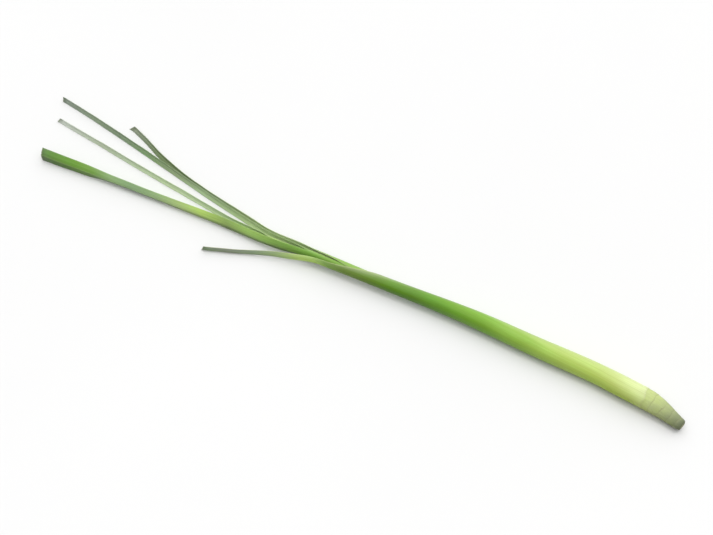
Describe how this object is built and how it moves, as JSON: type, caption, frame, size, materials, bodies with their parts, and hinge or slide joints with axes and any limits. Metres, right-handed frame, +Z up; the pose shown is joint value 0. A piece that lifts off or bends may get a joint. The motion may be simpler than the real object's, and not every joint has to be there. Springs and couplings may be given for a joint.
{
  "type": "lemongrass stalk",
  "caption": "Fresh lemongrass stalk lying on its side: pale cut root end, smooth rolled green sheaths, and narrow strap blades fanning out to trimmed ends.",
  "frame": {"origin": "bottom centre of the stalk's box as it lies, on the surface under it", "axes": "+X along the stalk towards the cut root end, the blades' trimmed ends at -X; +Z up from the surface it lies on; -Y is the side of the short outer blade"},
  "size_m": [0.5183, 0.0712, 0.0147],
  "materials": {
    "stem_base": "matte",
    "outer_sheath_leaf": "satin",
    "old_leaf": "satin",
    "broad_leaf": "satin",
    "long_leaf": "satin",
    "young_leaf": "satin",
    "thin_leaf": "satin"
  },
  "bodies": {
    "root": {"stem_base": "stem_base", "leaf_1": "outer_sheath_leaf", "leaf_2": "old_leaf", "leaf_3": "broad_leaf", "leaf_4": "long_leaf", "leaf_5": "young_leaf", "leaf_6": "thin_leaf"}
  },
  "joints": []
}
